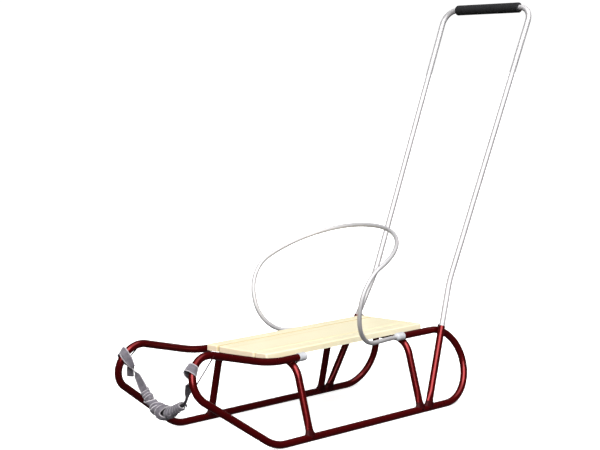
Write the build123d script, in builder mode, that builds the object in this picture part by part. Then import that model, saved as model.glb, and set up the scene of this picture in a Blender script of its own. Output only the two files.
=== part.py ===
"""Child's sled: two steel tube side frames on two arches, a slatted wooden seat,
a light-alloy push handle in two sockets, a bent backrest bow and a webbing pull strap.

X points forward to the nose, Y to the sled's left and Z up. The origin lies on the ground,
halfway along the whole sled with its handle. Lengths are in millimetres, angles in degrees.
"""

from math import cos, radians, sin, sqrt, tan
import os

from build123d import *

os.makedirs("parts", exist_ok=True)

# Steel tube of the side frames, arches and sockets
tube_od = 18.0
tube_wall = 1.2
weld_gap = 0.3
cope_gap = 0.1

# Side frame: measured along X and up its own leaning plane, from the runner's centreline
frame_lean = 14.5
runner_half_gauge = 179.4
rail_rise = 189.5
loop_centre_x = -253.5
low_bend_x = 311.6
low_bend_radius = 360.0
nose_corner_x = 770.6
nose_corner_rise = 308.9
nose_radius = 57.0
toe_x = 345.2
toe_radius = 96.5

# Arches across the sled, and the rail ends that stop just past them
front_arch_x = 232.0
rear_arch_x = -156.0
rail_overhang = 10.0

# Feet of the arches and sockets: the tube's end is squashed flat, wide along the runner
foot_wide = 24.5
foot_thin = 11.5
foot_height = 42.0

# Eye rods across the noses, by X, rise and distance out from the frame's plane at each end
rod_od = 3.0
rod_top = (482.2, 231.3, 10.2)
rod_bottom = (550.5, 169.4, 3.9)

# Seat slats
seat_rear_x = -244.5
seat_front_x = 300.0
seat_top_z = 209.0
slat_thickness = 14.5
outer_slat_width = 42.0
seat_side_gap = 14.95
slat_gap = 3.0
slat_corner = 5.0
slat_edge = 2.5

# Plastic plugs in the rail ends
plug_od = 20.5
plug_length = 27.0
plug_dome = 8.0
plug_flange = 5.0
plug_groove = 0.8
plug_spigot = 16.0
plug_fit = 0.15

# Backrest bow: each bend on the left by its X, and by how far out from and up from the rail it lies
bow_od = 11.0
bow_insert = 60.0
bow_fit = 0.2
bow_kink_x = -112.0
bow_kink_radius = 60.0
bow_knee = (62.0, 38.0, 4.5)
bow_knee_radius = 96.0
bow_elbow = (67.0, 70.0, 166.0)
bow_elbow_radius = 103.0
bow_back = (-173.0, 59.0, 271.2)
bow_back_radius = 196.0

# Push handle and its sockets
handle_od = 15.0
handle_wall = 1.2
handle_insert = 95.0
handle_bend_z = 310.0
handle_bend_radius = 260.0
handle_top = (-667.1, 151.8, 1017.0)
handle_corner_radius = 40.0
grip_od = 28.0
grip_length = 220.0
grip_edge = 4.0
grip_fit = 0.15
socket_foot_x = -183.7
socket_slope = 0.482
socket_stand = 8.5

# Pull strap: sleeves round the noses, two hanging runs and the wound-up middle
strap_thickness = 2.2
strap_width = 26.0
strap_run_od = 9.0
sleeve_turn = 30.0
sleeve_middle = 33.0
sleeve_fit = 0.15
bundle_od = 29.0
bundle_edge = 9.0
overrun = 40.0

# Values worked out from the sizes above
tube_r = tube_od / 2
tube_id = tube_od - 2 * tube_wall
lean_sin, lean_cos = sin(radians(frame_lean)), cos(radians(frame_lean))
rail_y = runner_half_gauge - rail_rise * lean_sin
rail_z = tube_r + rail_rise * lean_cos
rail_front_end = front_arch_x - rail_overhang
rail_rear_end = rear_arch_x + rail_overhang
seat_bottom_z = seat_top_z - slat_thickness
loop_radius = rail_rise / 2
middle_slat_width = 2 * (rail_y - tube_r - seat_side_gap - outer_slat_width - slat_gap)


def nose_arc():
    """Centre and start angle of the nose bend in the leaning plane, and how far it turns."""
    climb = (nose_corner_x - low_bend_x, nose_corner_rise - rail_rise)
    fall = (nose_corner_x - toe_x, nose_corner_rise)
    climb_length, fall_length = sqrt(climb[0] ** 2 + climb[1] ** 2), sqrt(fall[0] ** 2 + fall[1] ** 2)
    along = [-climb[i] / climb_length - fall[i] / fall_length for i in range(2)]
    spread = sqrt(along[0] ** 2 + along[1] ** 2)
    half = sqrt(1 - (spread / 2) ** 2)
    reach = nose_radius / half
    return nose_corner_x + along[0] / spread * reach, nose_corner_rise + along[1] / spread * reach


nose_centre_x, nose_centre_rise = nose_arc()
nose_tip_x = nose_centre_x + nose_radius + tube_r
tail_x = handle_top[0] - grip_od / 2
origin_x = (nose_tip_x + tail_x) / 2


def at(x, y, z):
    """A point given from the seat's datum, moved to the sled's own origin."""
    return Vector(x - origin_x, y, z)


def on_frame(side, x, rise, out=0.0):
    """A point by its rise up a side frame's leaning plane and its distance out; side is 1 on the left, -1 on the right."""
    y = runner_half_gauge - rise * lean_sin + out * lean_cos
    return at(x, side * y, tube_r + rise * lean_cos + out * lean_sin)


def bent_tube(points, radii, outer, inner=0.0):
    """A tube, or a rod where inner is 0, along straight runs joined by tangent arcs."""
    with BuildPart() as tube:
        with BuildLine() as run:
            if radii:
                FilletPolyline(*points, radius=radii)
            else:
                Line(*points)
        with BuildSketch(Plane(origin=run.line @ 0, z_dir=run.line % 0)):
            Circle(outer / 2)
            if inner:
                Circle(inner / 2, mode=Mode.SUBTRACT)
        sweep(path=run.line)
    return tube.part


def runner_space(side):
    """The room that a side frame's runner takes, with the gap kept at a coped tube end."""
    with BuildPart() as space:
        with BuildSketch(Plane(origin=on_frame(side, loop_centre_x, 0), z_dir=(1, 0, 0))):
            Circle(tube_r + cope_gap)
        extrude(amount=toe_x - loop_centre_x)
    return space.part


def flat_foot(foot, up):
    """The squashed end of a tube that stands on a runner: an oval there, round again at its upper end."""
    with BuildPart() as squashed:
        for trim, mode in ((0.0, Mode.ADD), (tube_wall, Mode.SUBTRACT)):
            with BuildSketch(Plane(origin=foot, x_dir=(1, 0, 0), z_dir=up)):
                Ellipse(foot_wide / 2 - trim, foot_thin / 2 - trim)
            with BuildSketch(Plane(origin=foot + up * foot_height, x_dir=(1, 0, 0), z_dir=up)):
                Circle(tube_r - trim)
            loft(mode=mode)
    return squashed.part


def loop_point(side, turn):
    """A point of a rear loop's axis, by its turn in degrees from the foot at 0 to the head."""
    turn = radians(turn)
    return on_frame(side, loop_centre_x - loop_radius * sin(turn), loop_radius * (1 - cos(turn)))


def write(part, name):
    """Labels a finished piece and writes it as one file named after it."""
    part.label = name
    export_step(part, f"parts/{name}.step")


sides = (("left", 1), ("right", -1))

# Side frames: a bent nose tube, a straight runner, a rear loop in two quarter bends and a straight rear rail,
# butted together
quarter_turn = 90.0
for name, side in sides:
    front_butt = on_frame(side, front_arch_x, 0)
    loop_foot, loop_head = on_frame(side, loop_centre_x, 0), on_frame(side, loop_centre_x, rail_rise)
    nose_points = [
        on_frame(side, rail_front_end, rail_rise),
        on_frame(side, low_bend_x, rail_rise),
        on_frame(side, nose_corner_x, nose_corner_rise),
        on_frame(side, toe_x, 0),
        front_butt,
    ]
    nose_radii = [low_bend_radius, nose_radius, toe_radius]
    write(bent_tube(nose_points, nose_radii, tube_od, tube_id), f"{name}_nose_tube")
    with BuildPart() as eye_rod:
        add(bent_tube([on_frame(side, *rod_top), on_frame(side, *rod_bottom)], [], rod_od))
        add(bent_tube(nose_points, nose_radii, tube_od + 2 * cope_gap), mode=Mode.SUBTRACT)
    write(eye_rod.part, f"{name}_eye_rod")
    write(bent_tube([front_butt, loop_foot], [], tube_od, tube_id), f"{name}_runner")
    for half, start in (("lower", 0), ("upper", quarter_turn)):
        with BuildPart() as rear_loop:
            with BuildLine() as run:
                ThreePointArc(*[loop_point(side, start + turn) for turn in (0, quarter_turn / 2, quarter_turn)])
            with BuildSketch(Plane(origin=run.line @ 0, z_dir=run.line % 0)):
                Circle(tube_r)
                Circle(tube_id / 2, mode=Mode.SUBTRACT)
            sweep(path=run.line)
        write(rear_loop.part, f"{name}_{half}_rear_loop")
    rail_end = on_frame(side, rail_rear_end, rail_rise)
    write(bent_tube([loop_head, rail_end], [], tube_od, tube_id), f"{name}_rear_rail")

# Arches: legs in the side frames' planes, bent in so that each shoulder just meets its rail
arch_z = seat_bottom_z - tube_r
shoulder_drop = rail_z - arch_z
lean_tan = lean_sin / lean_cos
shoulder_share = (1 - lean_sin) / lean_cos
shoulder_reach = tube_od + weld_gap
b_term = shoulder_drop * (1 - shoulder_share * lean_tan) - shoulder_reach
c_term = (shoulder_drop / lean_cos) ** 2 - shoulder_reach**2
arch_radius = (-b_term + sqrt(b_term**2 - shoulder_share**2 * c_term)) / shoulder_share**2
arch_corner_y = runner_half_gauge - (arch_z - tube_r) * lean_tan
for name, arch_x in (("front", front_arch_x), ("rear", rear_arch_x)):
    feet = [on_frame(side, arch_x, 0) for _, side in sides]
    ups = [on_frame(side, arch_x, 1) - foot for (_, side), foot in zip(sides, feet)]
    legs = [
        feet[0] + ups[0] * foot_height,
        at(arch_x, arch_corner_y, arch_z),
        at(arch_x, -arch_corner_y, arch_z),
        feet[1] + ups[1] * foot_height,
    ]
    with BuildPart() as arch:
        add(bent_tube(legs, [arch_radius, arch_radius], tube_od, tube_id))
        for (_, side), foot, up in zip(sides, feet, ups):
            add(flat_foot(foot, up))
            add(runner_space(side), mode=Mode.SUBTRACT)
    write(arch.part, f"{name}_arch")

# Handle sockets: coped on the runner, leaning back and passing outside the rear loop
socket_top_z = rail_z + socket_stand
cross_z = rail_z
cross_x = socket_foot_x - socket_slope * (cross_z - tube_r)
loop_rise = loop_radius + sqrt(loop_radius**2 - (cross_x - loop_centre_x) ** 2)
loop_y = runner_half_gauge - loop_rise * lean_sin
cross_y = loop_y + tube_od + weld_gap
side_slope = (runner_half_gauge - cross_y) / (cross_z - tube_r)


def on_socket(side, z):
    """A point of a socket's own axis at height z; the handle's leg follows the same line."""
    rise = z - tube_r
    return at(socket_foot_x - socket_slope * rise, side * (runner_half_gauge - side_slope * rise), z)


for name, side in sides:
    foot, head = on_socket(side, tube_r), on_socket(side, socket_top_z)
    up = (head - foot).normalized()
    with BuildPart() as socket:
        add(bent_tube([foot + up * foot_height, head], [], tube_od, tube_id))
        add(flat_foot(foot, up))
        add(runner_space(side), mode=Mode.SUBTRACT)
    write(socket.part, f"{name}_handle_socket")

# Push handle: one bent tube whose legs go down into the sockets
leg_foot_z = socket_top_z - handle_insert
handle_points = [
    on_socket(1, leg_foot_z),
    on_socket(1, handle_bend_z),
    at(*handle_top),
    at(handle_top[0], -handle_top[1], handle_top[2]),
    on_socket(-1, handle_bend_z),
    on_socket(-1, leg_foot_z),
]
handle_radii = [handle_bend_radius, handle_corner_radius, handle_corner_radius, handle_bend_radius]
write(bent_tube(handle_points, handle_radii, handle_od, handle_od - 2 * handle_wall), "push_handle")

# Grip: a foam sleeve pushed on the handle's cross tube
with BuildPart() as handle_grip:
    grip_start = at(handle_top[0], -grip_length / 2, handle_top[2])
    with BuildSketch(Plane(origin=grip_start, z_dir=(0, 1, 0))):
        Circle(grip_od / 2)
        Circle(handle_od / 2 + grip_fit, mode=Mode.SUBTRACT)
    extrude(amount=grip_length)
    rims = handle_grip.edges().filter_by(GeomType.CIRCLE).group_by(SortBy.RADIUS)[-1]
    fillet(rims, grip_edge)
write(handle_grip.part, "handle_grip")


def rail_plug(side, x, facing, bore):
    """A domed plastic plug with its spigot in a rail end; bore is 0 where it closes the tube."""
    face = on_frame(side, x, rail_rise)
    with BuildPart() as plug:
        with BuildSketch(Plane(origin=face, z_dir=(facing, 0, 0))):
            Circle(plug_od / 2)
        extrude(amount=plug_length)
        fillet(plug.edges().group_by(Axis.X)[-1 if facing > 0 else 0], plug_dome)
        with BuildSketch(Plane(origin=face + Vector(facing * plug_flange, 0, 0), z_dir=(facing, 0, 0))):
            Circle(plug_od / 2 + plug_groove)
            Circle(plug_od / 2 - plug_groove, mode=Mode.SUBTRACT)
        extrude(amount=plug_groove, mode=Mode.SUBTRACT)
        with BuildSketch(Plane(origin=face, z_dir=(-facing, 0, 0))):
            Circle(tube_id / 2 - plug_fit)
        extrude(amount=plug_spigot)
        if bore:
            with BuildSketch(Plane(origin=face, z_dir=(facing, 0, 0))):
                Circle(bore / 2)
            extrude(amount=plug_length, both=True, mode=Mode.SUBTRACT)
    return plug.part


for name, side in sides:
    write(rail_plug(side, rail_front_end, -1, 0.0), f"{name}_rail_cap")
    write(rail_plug(side, rail_rear_end, 1, bow_od + 2 * bow_fit), f"{name}_bow_collar")

# Backrest bow: one rod from inside the left rail, round the back and into the right rail
bow_half = [(rail_rear_end - bow_insert, 0.0, 0.0), (bow_kink_x, 0.0, 0.0), bow_knee, bow_elbow, bow_back]
bow_left = [at(x, rail_y + out, rail_z + up) for x, out, up in bow_half]
bow_right = [at(x, -rail_y - out, rail_z + up) for x, out, up in reversed(bow_half)]
bow_radii = [bow_kink_radius, bow_knee_radius, bow_elbow_radius, bow_back_radius]
write(bent_tube(bow_left + bow_right, bow_radii + bow_radii[::-1], bow_od), "backrest_bow")

# Seat: three lengthwise slats, named with their middle line and width
slat_step = (middle_slat_width + outer_slat_width) / 2 + slat_gap
slats = (
    ("left_seat_slat", slat_step, outer_slat_width),
    ("middle_seat_slat", 0.0, middle_slat_width),
    ("right_seat_slat", -slat_step, outer_slat_width),
)
seat_middle_x = (seat_rear_x + seat_front_x) / 2
for name, slat_y, slat_width in slats:
    with BuildPart() as slat:
        with BuildSketch(Plane(origin=at(seat_middle_x, slat_y, seat_bottom_z))):
            RectangleRounded(seat_front_x - seat_rear_x, slat_width, slat_corner)
        extrude(amount=slat_thickness)
        fillet(slat.faces().sort_by(Axis.Z)[-1].edges(), slat_edge)
    write(slat.part, name)


def nose_stretch(side, start_turn, turn):
    """The nose bend's centreline from start_turn degrees above level ahead, downwards by turn."""
    def point(angle):
        swing = radians(angle)
        rise = nose_centre_rise + nose_radius * sin(swing)
        return on_frame(side, nose_centre_x + nose_radius * cos(swing), rise)

    return ThreePointArc(point(start_turn), point(start_turn - turn / 2), point(start_turn - turn))


def sleeve(side, outer, inner, start_turn, turn):
    """A sleeve swept along a nose bend."""
    with BuildPart() as wrap:
        with BuildLine() as run:
            nose_stretch(side, start_turn, turn)
        with BuildSketch(Plane(origin=run.line @ 0, z_dir=run.line % 0)):
            Circle(outer / 2)
            if inner:
                Circle(inner / 2, mode=Mode.SUBTRACT)
        sweep(path=run.line)
    return wrap.part


# Strap sleeves: webbing wound round each nose
sleeve_id = tube_od + 2 * sleeve_fit
sleeve_od = sleeve_id + 2 * 2 * strap_thickness
sleeve_high = sleeve_middle + sleeve_turn / 2
for name, side in sides:
    write(sleeve(side, sleeve_od, sleeve_id, sleeve_high, sleeve_turn), f"{name}_strap_sleeve")

# Strap route, chosen by hand: from the left nose through the wound-up middle to the right nose
left_run = [(545.0, 128.0, 207.0), (527.0, 92.0, 168.0), (518.0, 76.0, 138.0), (516.0, 60.0, 120.0)]
bundle_line = [(516.0, 60.0, 120.0), (516.0, -10.0, 90.0), (518.0, -80.0, 131.0)]
right_run = [(518.0, -80.0, 131.0), (521.0, -94.0, 157.0), (526.0, -106.0, 182.0), (545.0, -128.0, 207.0)]
run_radii = [60.0, 60.0]

with BuildPart() as strap_bundle:
    with BuildLine() as run:
        ThreePointArc(*[at(*p) for p in bundle_line])
    with BuildSketch(Plane(origin=run.line @ 0, z_dir=run.line % 0)):
        Circle(bundle_od / 2)
    sweep(path=run.line)
    fillet(strap_bundle.edges().filter_by(GeomType.CIRCLE), bundle_edge)
write(strap_bundle.part, "strap_bundle")

for name, side, route in (("left", 1, left_run), ("right", -1, right_run)):
    with BuildPart() as strap_run:
        add(bent_tube([at(*p) for p in route], run_radii, strap_run_od))
        add(sleeve(side, sleeve_od + 2 * sleeve_fit, 0.0, sleeve_high + sleeve_turn, 3 * sleeve_turn), mode=Mode.SUBTRACT)
        add(strap_bundle.part, mode=Mode.SUBTRACT)
    write(strap_run.part, f"{name}_strap_run")
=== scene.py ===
"""Looks of the child's sled: enamelled steel tube frame, pine seat, light-alloy bow and push handle,
grey webbing pull strap. Lengths are in metres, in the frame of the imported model.
"""

from math import acos, atan2, cos, pi, radians, sin, sqrt

import bmesh
import bpy
import numpy as np
from mathutils import Matrix, Vector
from mathutils.kdtree import KDTree


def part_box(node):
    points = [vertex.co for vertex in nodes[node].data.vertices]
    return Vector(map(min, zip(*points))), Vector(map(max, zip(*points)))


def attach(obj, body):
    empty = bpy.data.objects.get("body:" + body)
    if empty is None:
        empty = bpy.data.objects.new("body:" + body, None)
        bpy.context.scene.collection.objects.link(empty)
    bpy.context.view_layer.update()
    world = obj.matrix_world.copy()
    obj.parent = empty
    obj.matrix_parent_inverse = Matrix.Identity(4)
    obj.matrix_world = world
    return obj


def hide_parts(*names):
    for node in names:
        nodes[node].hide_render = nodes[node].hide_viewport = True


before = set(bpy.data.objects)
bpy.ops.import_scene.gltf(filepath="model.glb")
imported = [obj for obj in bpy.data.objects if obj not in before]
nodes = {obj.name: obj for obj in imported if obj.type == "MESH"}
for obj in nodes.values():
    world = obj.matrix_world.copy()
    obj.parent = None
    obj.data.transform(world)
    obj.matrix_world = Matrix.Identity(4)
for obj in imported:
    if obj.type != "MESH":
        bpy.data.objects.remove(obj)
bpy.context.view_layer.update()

# Camera
# Stands off the sled's left front, a little higher than the bow, on a long lens.
# The small shift puts the sled low in the picture, as it was framed.
camera_eye = Vector((2.8874, 2.8544, 0.9090))
camera_aim = Vector((0.2005, 0.0, 0.5852))
camera_roll = radians(-1.591)
camera_lens = 96.69
camera_shift = (0.033, -0.0629)
camera_reach = 200.0
camera_data = bpy.data.cameras.new("studio_camera")
camera_data.lens = camera_lens
camera_data.shift_x, camera_data.shift_y = camera_shift
camera_data.clip_end = camera_reach
camera = bpy.data.objects.new("studio_camera", camera_data)
bpy.context.scene.collection.objects.link(camera)
towards = (camera_aim - camera_eye).to_track_quat("-Z", "Y").to_matrix().to_4x4()
camera.matrix_world = Matrix.Translation(camera_eye) @ towards @ Matrix.Rotation(camera_roll, 4, "Z")
bpy.context.scene.camera = camera


# Frame tubes, arches and handle sockets
# Bent 18 mm steel tube, welded and then enamelled a deep metallic red under a clear coat.
# The tubes themselves are the CAD solids; this section gives them their paint.
class Value:
    """A socket of a finish; those that carry a number can be added, multiplied and so on."""

    def __init__(self, finish, socket):
        self.finish, self.socket = finish, socket

    def joined(self, operation, *parts):
        node = self.finish.tree.nodes.new("ShaderNodeMath")
        node.operation = operation
        for slot, part in zip(node.inputs, parts):
            self.finish.feed(slot, part)
        return Value(self.finish, node.outputs[0])

    def __add__(self, other):
        return self.joined("ADD", self, other)

    def __radd__(self, other):
        return self.joined("ADD", other, self)

    def __sub__(self, other):
        return self.joined("SUBTRACT", self, other)

    def __rsub__(self, other):
        return self.joined("SUBTRACT", other, self)

    def __mul__(self, other):
        return self.joined("MULTIPLY", self, other)

    def __rmul__(self, other):
        return self.joined("MULTIPLY", other, self)

    def __gt__(self, other):
        return self.joined("GREATER_THAN", self, other)

    def __lt__(self, other):
        return self.joined("LESS_THAN", self, other)


class Finish:
    """A procedural material: fixed numbers on its shader's sockets, nodes for what changes over it."""

    def __init__(self, name, fixed):
        self.material = bpy.data.materials.new(name)
        self.material.use_nodes = True
        self.tree = self.material.node_tree
        self.shader = self.tree.nodes["Principled BSDF"]
        for socket, number in fixed.items():
            self.shader.inputs[socket].default_value = number

    def feed(self, socket, what):
        """Gives a socket a number, a colour or a link."""
        if isinstance(what, Value):
            self.tree.links.new(what.socket, socket)
        else:
            socket.default_value = what

    def node(self, kind, settings, links, out=0):
        """Adds a node: its type, its settings, and the values or links of its sockets."""
        made = self.tree.nodes.new("ShaderNode" + kind)
        for setting, value in settings.items():
            if setting == "stops":
                for stop, (place, colour) in zip(made.color_ramp.elements, value):
                    stop.position, stop.color = place, colour
            else:
                setattr(made, setting, value)
        for socket, what in links.items():
            self.feed(made.inputs[socket], what)
        return Value(self, made.outputs[out])

    def place(self, stretch):
        """The surface's own place, with each direction stretched."""
        own = self.node("TexCoord", {}, {}, "Object")
        return self.node("VectorMath", {"operation": "MULTIPLY"}, {0: own, 1: stretch})

    def noise(self, vector, scale, detail, roughness=0.5):
        """Cloudy noise from 0 to 1."""
        sockets = {"Vector": vector, "Scale": scale, "Detail": detail, "Roughness": roughness}
        return self.node("TexNoise", {}, sockets)

    def between(self, share, first, second):
        """A colour between two."""
        return self.node("Mix", {"data_type": "RGBA"}, {0: share, 6: first, 7: second}, 2)

    def ramp(self, share, *stops):
        """A colour read from a ramp of two stops."""
        return self.node("ValToRGB", {"stops": stops}, {0: share})

    def surface(self, **varying):
        """Links what changes over the surface to the shader's sockets."""
        for socket, what in varying.items():
            self.feed(self.shader.inputs[socket.replace("_", " ")], what)

    def bump(self, height, distance):
        """Raises the surface by the height times the distance in metres."""
        raised = self.node("Bump", {}, {"Height": height, "Distance": distance, "Strength": 1.0})
        self.feed(self.shader.inputs["Normal"], raised)


def dress(finish, *names):
    """Gives CAD nodes a finish through their own material slots."""
    for name in names:
        for slot in nodes[name].material_slots:
            slot.material = finish.material


enamel_deep = (0.108, 0.0005, 0.0012, 1.0)
enamel_bright = (0.190, 0.0014, 0.0030, 1.0)
enamel_peel = 0.00005
enamel_fixed = {"Metallic": 0.74, "Coat Weight": 0.36, "Coat Roughness": 0.10, "Coat IOR": 1.4}
paint = Finish("frame_enamel", enamel_fixed)
even = (1.0, 1.0, 1.0)
paint_place = paint.place(even)
paint_cloud = paint.noise(paint_place, 14.0, 3.0)
paint_flake = paint.noise(paint_place, 2600.0, 1.0)
paint_peel = paint.noise(paint_place, 260.0, 2.0)
paint.surface(
    Base_Color=paint.between(0.65 * paint_cloud + 0.35 * paint_flake, enamel_deep, enamel_bright),
    Roughness=0.24 + 0.08 * paint_cloud,
)
paint.bump(paint_peel, enamel_peel)
both_sides = (("left", 1), ("right", -1))
dress(paint, "front_arch", "rear_arch")
for side_name, _ in both_sides:
    dress(paint, f"{side_name}_nose_tube", f"{side_name}_runner", f"{side_name}_lower_rear_loop")
    dress(paint, f"{side_name}_upper_rear_loop", f"{side_name}_rear_rail", f"{side_name}_handle_socket")

# Weld beads
# A bead of weld runs round the flattened foot of each arch leg and socket, where it stands on its runner, and
# round each place where a shoulder or a socket touches a rail or a loop. The beads are rough steel under the
# frame's enamel, which has run thin and dark over them.
tube_r = 0.009
frame_lean = radians(14.5)
runner_half_gauge = 0.1794
rail_rise = 0.1895
front_arch_x, rear_arch_x = 0.29304, -0.09496
socket_foot_x, socket_slope = -0.12266, 0.482
loop_centre_x, loop_radius = -0.19246, rail_rise / 2
foot_wide, foot_thin, foot_height = 0.0245, 0.0115, 0.042
weld_gap = 0.0003
weld_deep = (0.020, 0.0004, 0.0008, 1.0)
weld_bright = (0.045, 0.0007, 0.0014, 1.0)
weld_lumps = 0.0002
weld = Finish("weld_enamel", {"Metallic": 0.25, "Specular IOR Level": 0.15})
weld_cloud = weld.noise(weld.place(even), 320.0, 3.0)
weld.surface(Base_Color=weld.between(weld_cloud, weld_deep, weld_bright), Roughness=0.42 + 0.2 * weld_cloud)
weld.bump(weld_cloud, weld_lumps)
# How far the fillet spreads from the foot's side, and how far it rises above the runner, round its section
foot_weld_profile = [
    (-0.0012, 0.011),
    (0.0001, 0.011),
    (0.0012, 0.0045),
    (0.0040, 0.0),
    (0.0040, -0.002),
    (-0.0012, -0.002),
]
bead_r = 0.0021
bead_sides, bead_steps = 10, 56
touch_long, touch_short = 0.0085, 0.0052


def frame_point(side, x, rise, out=0.0):
    """A point by its rise up a side frame's leaning plane, and its distance outward from that plane."""
    y = runner_half_gauge - rise * sin(frame_lean) + out * cos(frame_lean)
    return Vector((x, side * y, tube_r + rise * cos(frame_lean) + out * sin(frame_lean)))


def skin(name, rings, finish, path_closed=False, cloth=None):
    """A piece over closed rings of points, each joined to the next, with flat ends where the path is open."""
    count, wide = len(rings), len(rings[0])
    points = [tuple(p) for ring in rings for p in ring]
    faces = []
    for i in range(count if path_closed else count - 1):
        for j in range(wide):
            a, b = i * wide, (i + 1) % count * wide
            k = (j + 1) % wide
            faces.append((a + j, a + k, b + k, b + j))
    if not path_closed:
        faces.append(tuple(range(wide)))
        faces.append(tuple(range((count - 1) * wide, count * wide)))
    mesh = bpy.data.meshes.new(name)
    mesh.from_pydata(points, [], faces)
    shell = bmesh.new()
    shell.from_mesh(mesh)
    bmesh.ops.recalc_face_normals(shell, faces=shell.faces)
    shell.to_mesh(mesh)
    shell.free()
    mesh.shade_smooth()
    if cloth is not None:
        place = mesh.attributes.new("cloth", "FLOAT_VECTOR", "POINT")
        place.data.foreach_set("vector", np.array(cloth, np.float32).ravel())
    mesh.materials.append(finish.material)
    piece = bpy.data.objects.new(name, mesh)
    bpy.context.scene.collection.objects.link(piece)
    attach(piece, "root")
    return piece


def rings_along(path, radii, sides):
    """Round rings along a closed path, turned as little as they can be from one to the next."""
    rings, across = [], None
    for i, p in enumerate(path):
        along = (path[(i + 1) % len(path)] - path[i - 1]).normalized()
        if across is None:
            across = along.orthogonal()
        across = (across - along * across.dot(along)).normalized()
        other = along.cross(across)
        turns = [2 * pi * j / sides for j in range(sides)]
        rings.append([p + radii[i] * (across * cos(t) + other * sin(t)) for t in turns])
    return rings


def foot_weld(name, foot, up):
    """A fillet of weld round a flattened foot, from its side down onto the runner along X under it."""
    along = Vector((1.0, 0.0, 0.0))
    fore = (along - up * up.dot(along)).normalized()
    outer = up.cross(fore)
    flat_up = up - along * up.dot(along)
    rings = []
    for i in range(bead_steps):
        turn = 2 * pi * i / bead_steps
        ripple = 1.0 + 0.10 * sin(9 * turn + 0.7) + 0.06 * sin(17 * turn)
        ring = []
        for spread, rise in foot_weld_profile:
            reach = tube_r
            for _ in range(3):
                round_share = (reach + rise) / foot_height
                half_wide = foot_wide / 2 + (tube_r - foot_wide / 2) * round_share + spread * ripple
                half_thin = foot_thin / 2 + (tube_r - foot_thin / 2) * round_share + spread * ripple
                start = fore * half_wide * cos(turn) + outer * half_thin * sin(turn)
                flat_start = start - along * start.dot(along)
                a, b = flat_up.dot(flat_up), 2 * flat_up.dot(flat_start)
                c = flat_start.dot(flat_start) - tube_r**2
                reach = (-b + sqrt(max(b * b - 4 * a * c, 0.0))) / (2 * a)
            ring.append(foot + start + up * (reach + rise))
        rings.append(ring)
    return skin(name, rings, weld, path_closed=True)


def touch_bead(name, first, second, axis_point):
    """A small rippled bead round the place where two CAD tubes touch, near a point on the second's axis."""
    tree = KDTree(len(nodes[second].data.vertices))
    for i, vertex in enumerate(nodes[second].data.vertices):
        tree.insert(vertex.co, i)
    tree.balance()
    close = [v.co for v in nodes[first].data.vertices if (v.co - axis_point).length < 3 * tube_r]
    close = sorted(close, key=lambda co: tree.find(co)[2])[:4]
    contact = sum(close, Vector()) / len(close)
    facing = (axis_point - contact).normalized()
    long_way = Vector((1.0, 0.0, 0.0)) - facing * facing.x
    long_way.normalize()
    short_way = facing.cross(long_way)
    path, radii = [], []
    for i in range(bead_steps):
        turn = 2 * pi * i / bead_steps
        path.append(contact + long_way * touch_long * cos(turn) + short_way * touch_short * sin(turn))
        radii.append(bead_r * (1.05 + 0.14 * sin(7 * turn)))
    return skin(name, rings_along(path, radii, bead_sides), weld, path_closed=True)


rail_height = tube_r + rail_rise * cos(frame_lean)
cross_x = socket_foot_x - socket_slope * (rail_height - tube_r)
cross_rise = loop_radius + sqrt(loop_radius**2 - (cross_x - loop_centre_x) ** 2)
cross_y = runner_half_gauge - cross_rise * sin(frame_lean) + 2 * tube_r + weld_gap
socket_inward = (runner_half_gauge - cross_y) / (rail_height - tube_r)
arches = (("front", front_arch_x, "nose_tube"), ("rear", rear_arch_x, "rear_rail"))
for side_name, side in both_sides:
    leg_up = (frame_point(side, 0.0, 1.0) - frame_point(side, 0.0, 0.0)).normalized()
    for arch_name, arch_x, rail_name in arches:
        foot_weld(f"{side_name}_{arch_name}_foot_weld", frame_point(side, arch_x, 0.0), leg_up)
        rail_point = frame_point(side, arch_x, rail_rise)
        shoulder_name = f"{side_name}_{arch_name}_shoulder_weld"
        touch_bead(shoulder_name, f"{arch_name}_arch", f"{side_name}_{rail_name}", rail_point)
    socket_up = Vector((-socket_slope, -side * socket_inward, 1.0)).normalized()
    foot_weld(f"{side_name}_socket_foot_weld", frame_point(side, socket_foot_x, 0.0), socket_up)
    loop_point = frame_point(side, cross_x, cross_rise)
    socket_name, loop_name = f"{side_name}_handle_socket", f"{side_name}_upper_rear_loop"
    touch_bead(f"{side_name}_socket_weld", socket_name, loop_name, loop_point)

# Eye rods
# A straight 3 mm steel wire across the inside of each nose bend, left grey. Its upper end is welded to the
# outside of the tube and was painted over with it.
wire_light = (0.150, 0.130, 0.140, 1.0)
wire_dull = (0.090, 0.076, 0.084, 1.0)
wire_painted = (0.030, 0.0005, 0.0012, 1.0)
wire_painted_from = 0.2235
wire_pits = 0.00008
wire = Finish("grey_wire", {"Metallic": 0.1, "Specular IOR Level": 0.15})
wire_cloud = wire.noise(wire.place(even), 180.0, 3.0)
wire_height = wire.node("SeparateXYZ", {}, {0: wire.place(even)}, 2)
wire_bare = wire.between(wire_cloud, wire_dull, wire_light)
wire.surface(
    Base_Color=wire.between(wire_height > wire_painted_from, wire_bare, wire_painted),
    Roughness=0.55 + 0.2 * wire_cloud,
)
wire.bump(wire_cloud, wire_pits)
dress(wire, "left_eye_rod", "right_eye_rod")

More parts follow.
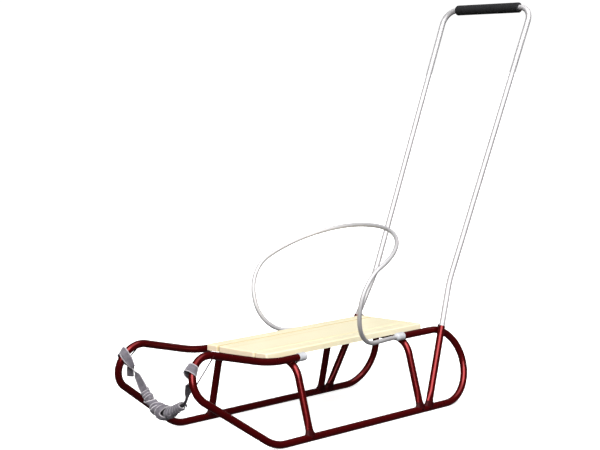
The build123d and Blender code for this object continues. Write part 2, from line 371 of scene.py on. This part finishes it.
# Rail caps and bow collars
# Pale grey moulded plugs: domed and closed in the front rail ends, bored for the bow in the rear ones.
# Each is pushed into its tube's open end as far as its own rim.
plastic_pale = (0.60, 0.61, 0.63, 1.0)
plastic_dull = (0.50, 0.51, 0.54, 1.0)
plastic_bloom = 0.00006
plastic = Finish("plug_plastic", {"Specular IOR Level": 0.45})
plastic_place = plastic.place(even)
plastic_cloud = plastic.noise(plastic_place, 120.0, 3.0)
plastic_grain = plastic.noise(plastic_place, 2200.0, 2.0)
plastic.surface(
    Base_Color=plastic.between(plastic_cloud, plastic_dull, plastic_pale),
    Roughness=0.42 + 0.16 * plastic_cloud,
)
plastic.bump(plastic_grain, plastic_bloom)
for side_name, _ in both_sides:
    dress(plastic, f"{side_name}_rail_cap", f"{side_name}_bow_collar")

# Backrest bow and push handle
# Bright light alloy with fine draw lines and a few dull handling marks. The bow is one bent rod, held in its
# collars, and the handle one bent tube, pushed down into its sockets.
alloy_light = (0.74, 0.72, 0.73, 1.0)
alloy_worn = (0.65, 0.64, 0.65, 1.0)
alloy_line_depth = 0.00003
alloy_line_stretch = (420.0, 900.0, 90.0)
alloy = Finish("drawn_alloy", {"Metallic": 0.66})
alloy_place = alloy.place(even)
alloy_cloud = alloy.noise(alloy_place, 22.0, 4.0)
alloy_lines = alloy.noise(alloy.place(alloy_line_stretch), 1.0, 2.0)
alloy.surface(
    Base_Color=alloy.between(alloy_cloud, alloy_worn, alloy_light),
    Roughness=0.58 + 0.10 * alloy_cloud,
)
alloy.bump(alloy_lines, alloy_line_depth)
dress(alloy, "backrest_bow", "push_handle")

# Handle grip
# A black closed-cell foam sleeve on the handle's cross tube, held by its own squeeze.
# Its cut skin is finely pitted and a little worn.
foam_black = (0.010, 0.010, 0.011, 1.0)
foam_worn = (0.022, 0.022, 0.024, 1.0)
foam_pits = 0.00035
foam = Finish("grip_foam", {"Specular IOR Level": 0.30})
foam_place = foam.place(even)
foam_cells = foam.node("TexVoronoi", {}, {"Vector": foam_place, "Scale": 900.0})
foam_cloud = foam.noise(foam_place, 60.0, 3.0)
foam.surface(
    Base_Color=foam.between(foam_cloud, foam_black, foam_worn),
    Roughness=0.70 + 0.25 * foam_cloud,
)
foam.bump(foam_cells, foam_pits)
dress(foam, "handle_grip")

# Seat slats
# Three planed pine boards with clear varnish, laid lengthwise over both arches; the grain runs along them.
# Their sawn front ends are a little redder, and shade is painted along the gaps between them, heavier along
# the right-hand gap.
pine_pale = (0.96, 0.90, 0.66, 1.0)
pine_late = (0.84, 0.64, 0.32, 1.0)
# The colour of the shade painted along the gaps between the boards
pine_gap_shade = (0.60, 0.46, 0.22, 1.0)
pine_sawn = (0.98, 0.78, 0.56, 1.0)
pine_end_depth, pine_gap_edge = 0.0006, 0.0026
pine_relief = 0.0001
ring_stretch, fibre_stretch, cloud_stretch = (2.4, 55.0, 34.0), (30.0, 900.0, 900.0), (3.0, 8.0, 8.0)
early_wood, late_wood = (0.52, (0.0, 0.0, 0.0, 1.0)), (0.72, (1.0, 1.0, 1.0, 1.0))
middle_slat, left_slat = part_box("middle_seat_slat"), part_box("left_seat_slat")
pine = Finish("seat_pine", {"Coat Weight": 0.25, "Coat Roughness": 0.25})
pine_rings = pine.noise(pine.place(ring_stretch), 1.0, 3.0, 0.45)
pine_fibre = pine.noise(pine.place(fibre_stretch), 1.0, 2.0)
pine_cloud = pine.noise(pine.place(cloud_stretch), 1.0, 2.0)
pine_band = pine.ramp(pine_rings, early_wood, late_wood)
pine_share = pine.node("RGBToBW", {}, {0: pine_band})
pine_place = pine.place(even)
pine_x = pine.node("SeparateXYZ", {}, {0: pine_place}, 0)
pine_end = pine_x > middle_slat[1].x - pine_end_depth
pine_y = pine.node("SeparateXYZ", {}, {0: pine_place}, 1)
pine_right = pine_y < 0.0
pine_off = pine_y.joined("ABSOLUTE", pine_y) - (middle_slat[1].y + left_slat[0].y) / 2
pine_shaded_gap = pine_off.joined("ABSOLUTE", pine_off) < (left_slat[0].y - middle_slat[1].y) / 2 + pine_gap_edge
pine_clean = pine.between(0.30 * pine_share + 0.12 * pine_fibre + 0.10 * pine_cloud, pine_pale, pine_late)
pine_boards = pine.between(0.7 * pine_end, pine_clean, pine_sawn)
pine.surface(
    # Painted shade: the boards are darkened along the gaps between them, more along the right-hand gap.
    Base_Color=pine.between(pine_shaded_gap * (0.35 + 0.5 * pine_right), pine_boards, pine_gap_shade),
    Roughness=0.38 + 0.18 * pine_fibre,
)
pine.bump(0.6 * pine_fibre + 0.8 * pine_share, pine_relief)
dress(pine, "left_seat_slat", "middle_seat_slat", "right_seat_slat")

# Pull strap
# Grey webbing 22 mm wide: looped round each nose, hanging between them, and wound up on itself in the middle.
# Shade is painted into it where it is folded in on itself, darkest at the open end of the bundle, and a
# highlight is painted along its edges.
web_width, web_thick = 0.022, 0.0022
rib_pitch, yarn_pitch = 0.0013, 0.0021
edge_highlight_from = 0.0088
weave_relief = 0.00025
strap_route = [
    Vector((0.60604, 0.128, 0.207)),
    Vector((0.58804, 0.092, 0.168)),
    Vector((0.57904, 0.076, 0.138)),
    Vector((0.57704, 0.060, 0.120)),
    Vector((0.57704, 0.040, 0.108)),
    Vector((0.57704, 0.008, 0.094)),
    Vector((0.57704, -0.017, 0.0895)),
    Vector((0.57704, -0.038, 0.097)),
    Vector((0.57804, -0.054, 0.107)),
    Vector((0.57904, -0.080, 0.131)),
    Vector((0.58204, -0.094, 0.157)),
    Vector((0.58704, -0.106, 0.182)),
    Vector((0.60604, -0.128, 0.207)),
]
web_grey = (0.245, 0.227, 0.258, 1.0)
web_dark = (0.075, 0.066, 0.085, 1.0)
# The colour of the highlight painted along the strap's edges
web_edge_highlight = (0.660, 0.620, 0.650, 1.0)
web_shade = (0.010, 0.006, 0.010, 1.0)
webbing = Finish("strap_webbing", {"Roughness": 0.85, "Sheen Weight": 0.25, "Specular IOR Level": 0.2})
web_place = webbing.node("Attribute", {"attribute_name": "cloth"}, {}, "Vector")
web_along = webbing.node("SeparateXYZ", {}, {0: web_place}, 0)
web_across = webbing.node("SeparateXYZ", {}, {0: web_place}, 1)
web_painted_shade = webbing.node("SeparateXYZ", {}, {0: web_place}, 2)
web_rib = (2 * pi / rib_pitch) * web_along
web_rib = web_rib.joined("SINE", web_rib)
web_yarn = (2 * pi / yarn_pitch) * web_across
web_yarn = web_yarn.joined("SINE", web_yarn)
web_weave = web_rib * web_yarn
web_out = web_across.joined("ABSOLUTE", web_across)
# Painted highlight: a band along each edge of the strap is painted much lighter.
web_edge_highlight_band = web_out > edge_highlight_from
web_cloud = webbing.noise(webbing.place(even), 90.0, 3.0)
web_body = webbing.between(0.55 + 0.2 * web_weave + 1.6 * (web_cloud - 0.5), web_dark, web_grey)
web_whole = webbing.between(web_edge_highlight_band * 0.8, web_body, web_edge_highlight)
# Painted shade: the strap is darkened towards near black where it is folded in on itself.
webbing.surface(Base_Color=webbing.between(web_painted_shade, web_whole, web_shade))
webbing.bump(web_weave, weave_relief)


def spline_points(name, route):
    """Points along the smooth line that a route's points control."""
    data = bpy.data.curves.new(name, "CURVE")
    data.dimensions = "3D"
    data.resolution_u = 14
    spline = data.splines.new("NURBS")
    spline.points.add(len(route) - 1)
    for point, place in zip(spline.points, route):
        point.co = (*place, 1.0)
    spline.order_u = 3
    spline.use_endpoint_u = True
    line = bpy.data.objects.new(name, data)
    bpy.context.scene.collection.objects.link(line)
    mesh = bpy.data.meshes.new_from_object(line)
    points = [v.co.copy() for v in mesh.vertices]
    bpy.data.objects.remove(line)
    bpy.data.meshes.remove(mesh)
    return points


def along_at(points, i):
    """The direction of a line of points at one of them."""
    return (points[min(i + 1, len(points) - 1)] - points[max(i - 1, 0)]).normalized()


def ribbon(name, centres, wishes, widths, painted_shade, curl=0.0):
    """A flat strap along centres, its width laid as near each wish as it can be, and curled over it."""
    half_count = 7
    rings, cloth, run = [], [], 0.0
    for i, centre in enumerate(centres):
        along = along_at(centres, i)
        run += (centre - centres[i - 1]).length if i else 0.0
        across = (wishes[i] - along * wishes[i].dot(along)).normalized()
        outward = along.cross(across)
        ring = []
        for face in (1, -1):
            for j in range(half_count + 1):
                share = (j / half_count - 0.5) * face
                lift = curl * widths[i] * (0.25 - share * share) * 2
                thick = face * web_thick / 2 * (0.6 if j in (0, half_count) else 1.0)
                ring.append(centre + across * share * widths[i] + outward * (lift + thick))
                # The third part of the cloth place carries the painted shade.
                cloth.append((run, share * web_width, painted_shade[i]))
        rings.append(ring)
    return skin(name, rings, webbing, cloth=cloth)


def stops_at(stops, share):
    """A number read from a list of places and values, eased from each to the next."""
    for (p, a), (q, b) in zip(stops, stops[1:]):
        if share <= q:
            part = (share - p) / (q - p)
            return a + (b - a) * part * part * (3 - 2 * part)
    return stops[-1][1]


strap_line = spline_points("strap_line", strap_route)
strap_runs = [0.0]
for before, after in zip(strap_line, strap_line[1:]):
    strap_runs.append(strap_runs[-1] + (after - before).length)
strap_shares = [run / strap_runs[-1] for run in strap_runs]

# The free strap, by share of its length from the left nose: its turn about its own line, in degrees from
# lying flat towards the sled's left front
strap_turns = [
    *((0.0, 86), (0.112, 86), (0.124, 25), (0.20, 30), (0.26, 62), (0.34, 30)),
    *((0.70, 10), (0.76, 2), (0.85, 30), (0.90, 84), (1.0, 80)),
]
# Its width by the same share
strap_widths = [
    *((0.0, 0.010), (0.112, 0.008), (0.124, 0.018), (0.19, 0.017), (0.25, 0.011), (0.34, 0.011)),
    *((0.62, 0.016), (0.75, 0.0205), (0.84, 0.019), (0.90, 0.008), (1.0, 0.012)),
]
# How much shade is painted into it where it is folded in on itself, by the same share
strap_painted_shade = [
    *((0.0, 0.6), (0.11, 0.5), (0.18, 0.25), (0.28, 0.15), (0.32, 0.8), (0.36, 1.0)),
    *((0.60, 0.8), (0.70, 0.1), (0.80, 0.25), (0.90, 0.1), (1.0, 0.0)),
]
strap_curl, turn_curl = 0.15, 0.08
front_left = Vector((0.683, 0.726, 0.08)).normalized()
strap_wishes = []
for i, share in enumerate(strap_shares):
    along = along_at(strap_line, i)
    flat = (front_left - along * front_left.dot(along)).normalized()
    turn = radians(stops_at(strap_turns, share))
    strap_wishes.append(along.cross(flat) * cos(turn) + flat * sin(turn))
strap = ribbon(
    "pull_strap",
    strap_line,
    strap_wishes,
    [stops_at(strap_widths, share) for share in strap_shares],
    [stops_at(strap_painted_shade, share) for share in strap_shares],
    strap_curl,
)

# Bundle
# The spare webbing is wound round the middle of the strap: tight turns at the right, broad ones over them,
# crossing ones at the lowest place and fine ones up to the left end, which is left open.
bundle_radii = [
    *((0.33, 0.0070), (0.38, 0.0085), (0.44, 0.0095), (0.50, 0.0125)),
    *((0.56, 0.0120), (0.62, 0.0095), (0.68, 0.0092), (0.78, 0.0100)),
]
steps_each_turn = 40


def wound(name, first, last, turns, start_turn, widths, tilt, cross, cross_turn, layer):
    """A strap wound round the hanging line from one share of it to another."""
    steps = int(turns * steps_each_turn)
    centres, wishes, wide = [], [], []
    for i in range(steps + 1):
        part = i / steps
        turn = start_turn + 2 * pi * turns * part
        share = first + (last - first) * part + cross / strap_runs[-1] * sin(turn - cross_turn)
        k = max(j for j, place in enumerate(strap_shares) if place <= share)
        rest = (share - strap_shares[k]) / (strap_shares[k + 1] - strap_shares[k])
        here = strap_line[k].lerp(strap_line[k + 1], rest)
        along = along_at(strap_line, k).lerp(along_at(strap_line, k + 1), rest).normalized()
        up = (Vector((0.0, 0.0, 1.0)) - along * along.z).normalized()
        out = up * cos(turn) + along.cross(up) * sin(turn)
        swell = stops_at(bundle_radii, share) * (1.0 + 0.05 * sin(3.1 * turn) + 0.03 * sin(1.3 * turn + 1.0))
        centres.append(here + out * (swell + layer * web_thick))
        wishes.append(along * cos(tilt) + out * sin(tilt))
        wide.append(widths[0] + (widths[1] - widths[0]) * part)
    return ribbon(name, centres, wishes, wide, [0.0] * (steps + 1), turn_curl)


# Each winding's first and last share of the line, its turns and where they start, its widths at both ends,
# its tilt, how far it crosses along the line and from where, and how many thicknesses of strap lie under it
bundle_windings = (
    ("bundle_tight_turns", 0.742, 0.672, 3.4, 0.4, (0.010, 0.011), 0.26, 0.0016, 0.0, 0.0),
    ("bundle_broad_turns", 0.685, 0.53, 2.4, 1.0, (0.020, 0.022), 0.24, 0.006, 1.0, 0.3),
    ("bundle_cross_turns", 0.585, 0.455, 2.3, 2.0, (0.016, 0.014), 0.34, -0.016, 0.4, 0.9),
    ("bundle_fine_turns", 0.485, 0.350, 5.2, 0.0, (0.0095, 0.0075), 0.40, 0.0035, 2.0, 0.2),
    ("bundle_end_turn", 0.350, 0.325, 1.2, 1.0, (0.009, 0.008), 0.30, -0.0030, 1.2, 0.9),
)
bundle_turns = [wound(*winding) for winding in bundle_windings]

# Nose loops
# At each nose the webbing goes round the tube and is gathered and sewn to itself behind it. On the right its
# cut end hangs down from there.
nose_centre_x, nose_centre_rise, nose_radius = 0.5562, 0.1791, 0.057
loop_slack = 0.0008
flare_lift = 0.4


def nose_place(side, swing):
    """The nose bend's centreline and its own directions, at an angle above level ahead."""
    centre_x = nose_centre_x + nose_radius * cos(swing)
    centre = frame_point(side, centre_x, nose_centre_rise + nose_radius * sin(swing))
    hub = frame_point(side, nose_centre_x, nose_centre_rise)
    spoke = (centre - hub).normalized()
    plane_way = (frame_point(side, 0.0, 0.0, 1.0) - frame_point(side, 0.0, 0.0)).normalized()
    return centre, spoke, plane_way


def nose_loop(name, side, swing, slant, skew, gather, gather_width, bulge, flare, painted_shade):
    """
    The strap's loop round a nose: out from the gather, round the tube, and back to the gather.
    Slant raises its outer side along the tube, and skew parts its two legs. Bulge and flare stand its first
    leg off the tube.
    """
    centre, spoke, plane_way = nose_place(side, swing)
    level = spoke.cross(plane_way)
    tangent = level if level.z > 0 else -level
    reach_line = gather - centre
    inward = (reach_line - tangent * reach_line.dot(tangent)).normalized()
    bearing = atan2(inward.dot(plane_way), inward.dot(spoke))
    hold = tube_r + web_thick / 2 + loop_slack
    spread = acos(hold / reach_line.dot(inward))
    leg_steps, round_steps = 16, 44
    centres, wishes, wide, loop_painted_shade = [], [], [], []

    def on_tube(turn):
        shift = slant * (1 - cos(turn)) / 2 + skew * sin(turn)
        c, s, p = nose_place(side, swing + shift)
        out = s * cos(bearing + turn) + p * sin(bearing + turn)
        return c + out * hold, out

    for part in range(leg_steps):
        share = part / leg_steps
        end, out = on_tube(spread)
        stand = flare * sin(pi / 2 * share)
        lift = bulge * sin(pi * share) + stand * web_width * flare_lift
        centres.append(gather.lerp(end, share) + out * lift)
        wishes.append(tangent - out * stand)
        wide.append(gather_width + (web_width - gather_width) * min(1.0, share * 1.6))
        # Painted shade, fading along the first leg from the gather
        loop_painted_shade.append(painted_shade * (1 - share))
    for part in range(round_steps + 1):
        turn = spread + (2 * pi - 2 * spread) * part / round_steps
        point, out = on_tube(turn)
        fade = sin((turn - spread) / (pi - spread) * pi / 2 + pi / 2) if turn < pi else 0.0
        stand = flare * max(0.0, fade)
        centres.append(point + out * stand * web_width * flare_lift)
        wishes.append(tangent - out * stand)
        wide.append(web_width)
        loop_painted_shade.append(0.0)
    for part in range(1, leg_steps + 1):
        share = part / leg_steps
        start, out = on_tube(2 * pi - spread)
        centres.append(start.lerp(gather, share) + out * loop_slack * sin(pi * share))
        wishes.append(tangent)
        wide.append(web_width + (gather_width - web_width) * max(0.0, share * 1.6 - 0.6))
        loop_painted_shade.append(0.0)
    return ribbon(name, centres, wishes, wide, loop_painted_shade)


left_gather, right_gather = Vector((0.5970, 0.1120, 0.1890)), Vector((0.5900, -0.1060, 0.1880))
# Each loop's side, its swing, slant and skew in degrees, its gather and how wide that is, its bulge, its
# flare, and how much shade is painted into its first leg, fading from the gather
nose_loops = (
    ("left", 1, 30, 2, 3, left_gather, 0.010, 0.001, 0.42, 0.95),
    ("right", -1, 33, 8, 3, right_gather, 0.011, 0.0005, 0.0, 0.1),
)
for side_name, side, swing, slant, skew, *form in nose_loops:
    loop = nose_loop(f"{side_name}_nose_loop", side, radians(swing), radians(slant), radians(skew), *form)
    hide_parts(f"{side_name}_strap_sleeve")
tail_steps, tail_width, tail_wave = 10, 0.017, 0.0015
tail_top, tail_end = Vector((0.5880, -0.1165, 0.1900)), Vector((0.5845, -0.1245, 0.1625))
tail_flat = Vector((-0.60, 0.80, 0.0))
tail_line, tail_painted_shade = [], []
for part in range(tail_steps + 1):
    wave = Vector((tail_wave * sin(part / 3), 0.0, 0.0))
    tail_line.append(tail_top.lerp(tail_end, part / tail_steps) + wave)
    # Painted shade on the tail, lighter towards its cut end
    tail_painted_shade.append(0.70 - 0.06 * part)
tail_count = len(tail_line)
tail = ribbon("strap_tail", tail_line, [tail_flat] * tail_count, [tail_width] * tail_count, tail_painted_shade)

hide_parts("left_strap_run", "right_strap_run", "strap_bundle")

# Studio
# A pale floor and a white backdrop that cast no light on the sled. It is lit by a broad soft light from the
# camera's side, a weaker one from above and a faint glow all round.
floor_size, floor_corners = 60.0, 48
floor_pale = (0.92, 0.92, 0.92, 1.0)
floor_paler = (0.94, 0.94, 0.94, 1.0)
floor_glow = (1.0, 0.99, 0.98, 1.0)
floor_fixed = {"Specular IOR Level": 0.0, "Emission Color": floor_glow, "Emission Strength": 0.70}
floor = Finish("studio_floor", floor_fixed)
floor_cloud = floor.noise(floor.place(even), 3.0, 2.0)
floor.surface(
    Base_Color=floor.between(floor_cloud, floor_pale, floor_paler),
    Roughness=0.8 + 0.1 * floor_cloud,
)
floor_mesh = bpy.data.meshes.new("studio_floor")
floor_turns = [2 * pi * i / floor_corners for i in range(floor_corners)]
floor_rim = [(floor_size * cos(turn), floor_size * sin(turn), 0.0) for turn in floor_turns]
floor_mesh.from_pydata(floor_rim, [], [tuple(range(floor_corners))])
floor_mesh.materials.append(floor.material)
floor_piece = bpy.data.objects.new("studio_floor", floor_mesh)
bpy.context.scene.collection.objects.link(floor_piece)
floor_piece.visible_glossy = False
floor_piece.visible_diffuse = False

backdrop_radius = 0.95 * floor_size
backdrop_glow = 1.05
backdrop = bpy.data.materials.new("studio_backdrop")
backdrop.use_nodes = True
backdrop.node_tree.nodes.clear()
glow = backdrop.node_tree.nodes.new("ShaderNodeEmission")
glow.inputs["Strength"].default_value = backdrop_glow
backdrop_out = backdrop.node_tree.nodes.new("ShaderNodeOutputMaterial")
backdrop.node_tree.links.new(glow.outputs[0], backdrop_out.inputs[0])
backdrop_mesh = bpy.data.meshes.new("studio_backdrop")
dome = bmesh.new()
bmesh.ops.create_uvsphere(dome, u_segments=48, v_segments=24, radius=backdrop_radius)
dome.to_mesh(backdrop_mesh)
dome.free()
backdrop_mesh.materials.append(backdrop)
backdrop_piece = bpy.data.objects.new("studio_backdrop", backdrop_mesh)
bpy.context.scene.collection.objects.link(backdrop_piece)
backdrop_piece.visible_glossy = False
backdrop_piece.visible_diffuse = False
backdrop_piece.visible_shadow = False

# Each light's strength, its spread in degrees and where it comes from
soft_lights = (
    ("soft_key", 4.2, 56, (0.60, 0.61, 0.65)),
    ("soft_top", 1.6, 60, (0.05, 0.35, 1.00)),
)
for light_name, energy, spread, light_from in soft_lights:
    light_data = bpy.data.lights.new(light_name, "SUN")
    light_data.energy = energy
    light_data.angle = radians(spread)
    light = bpy.data.objects.new(light_name, light_data)
    light.rotation_mode = "QUATERNION"
    light.rotation_quaternion = Vector(light_from).to_track_quat("Z", "Y")
    bpy.context.scene.collection.objects.link(light)
room_glow = (0.065, 0.065, 0.068, 1.0)
world = bpy.data.worlds.new("studio")
world.use_nodes = True
world.node_tree.nodes["Background"].inputs["Color"].default_value = room_glow
bpy.context.scene.world = world
bpy.context.scene.view_settings.view_transform = "Standard"
